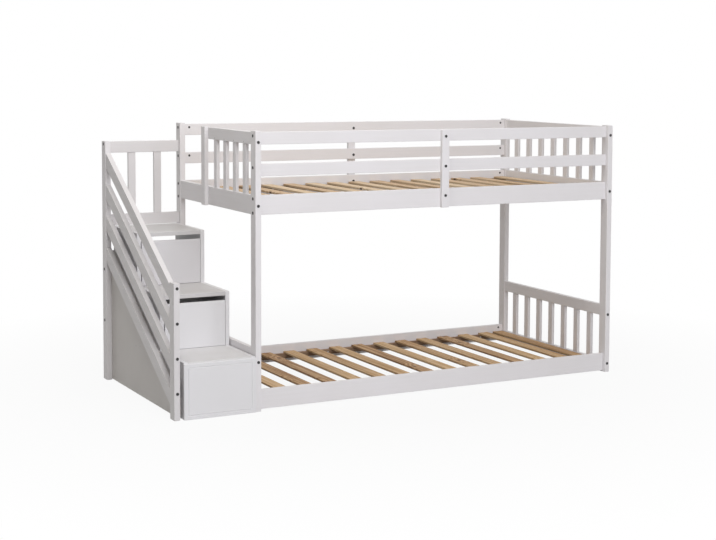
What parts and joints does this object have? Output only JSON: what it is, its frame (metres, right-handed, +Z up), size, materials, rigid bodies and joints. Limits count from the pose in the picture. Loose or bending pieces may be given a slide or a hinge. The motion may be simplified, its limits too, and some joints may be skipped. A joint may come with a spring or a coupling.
{
  "type": "bunk bed with storage stairs",
  "caption": "Low twin bunk bed with slatted bases and guard rails, and a storage staircase at one end whose steps hold drawers.",
  "frame": {"origin": "on the floor, under the middle of the whole object's bounding box", "axes": "+X along the bed from the stairs to the footboard, +Y from the open front to the back, +Z up"},
  "size_m": [2.396, 1.073, 1.296],
  "materials": {
    "white_timber": "satin white paint over solid softwood",
    "white_board": "satin white paint over flat board",
    "bare_slat_wood": "sawn, unpainted softwood",
    "drawer_box_wood": "thin white paint",
    "runner_wood": "waxed hardwood",
    "dark_bolts": "dark satin coating",
    "nut_steel": "dark satin coating",
    "screw_steel": "zinc plated"
  },
  "bodies": {
    "bed_and_stairs": {"back_centre_stile": "white_timber", "back_guard_mid_rail": "white_timber", "back_guard_top_rail": "white_timber", "back_left_post": "white_timber", "back_lower_side_rail": "white_timber", "back_right_post": "white_timber", "back_upper_side_rail": "white_timber", "barrel_nuts": "nut_steel", "drawer_runners": "runner_wood", "footboard_bottom_rail": "white_timber", "footboard_spindles": "white_timber", "footboard_top_rail": "white_timber", "frame_bolts": "dark_bolts", "front_centre_stile": "white_timber", "front_guard_mid_rail": "white_timber", "front_guard_top_rail": "white_timber", "front_left_post": "white_timber", "front_lower_side_rail": "white_timber", "front_right_post": "white_timber", "front_upper_side_rail": "white_timber", "left_entry_stile": "white_timber", "left_guard_spindles": "white_timber", "left_guard_top_rail": "white_timber", "left_lower_end_board": "white_timber", "left_upper_end_rail": "white_timber", "lower_cleats": "bare_slat_wood", "lower_slats": "bare_slat_wood", "right_guard_spindles": "white_timber", "right_guard_top_rail": "white_timber", "right_upper_end_rail": "white_timber", "sleeve_nuts": "nut_steel", "stair_back_board": "white_timber", "stair_back_post": "white_timber", "stair_front_post": "white_timber", "stair_guard_board": "white_timber", "stair_guard_slats": "white_timber", "stair_guard_top_rail": "white_timber", "stair_left_side_board": "white_board", "stair_right_side_board": "white_board", "stair_side_panel": "white_board", "stair_sloped_rail_1": "white_timber", "stair_sloped_rail_2": "white_timber", "stair_sloped_rail_3": "white_timber", "stair_sloped_rail_4": "white_timber", "stair_tread_1": "white_board", "stair_tread_2": "white_board", "stair_tread_3": "white_board", "upper_cleats": "bare_slat_wood", "upper_slats": "bare_slat_wood", "wood_screws": "screw_steel"},
    "drawer_1": {"drawer_1_front": "white_board", "drawer_1_box": "drawer_box_wood", "drawer_1_bottom": "drawer_box_wood"},
    "drawer_2": {"drawer_2_front": "white_board", "drawer_2_box": "drawer_box_wood", "drawer_2_bottom": "drawer_box_wood"},
    "drawer_3": {"drawer_3_front": "white_board", "drawer_3_box": "drawer_box_wood", "drawer_3_bottom": "drawer_box_wood"}
  },
  "joints": [
    {"name": "drawer_1_slide", "type": "slide", "parent": "bed_and_stairs", "child": "drawer_1", "axis": [0, -1, 0], "range_m": [0, 0.28]},
    {"name": "drawer_2_slide", "type": "slide", "parent": "bed_and_stairs", "child": "drawer_2", "axis": [0, -1, 0], "range_m": [0, 0.28]},
    {"name": "drawer_3_slide", "type": "slide", "parent": "bed_and_stairs", "child": "drawer_3", "axis": [0, -1, 0], "range_m": [0, 0.28]}
  ]
}
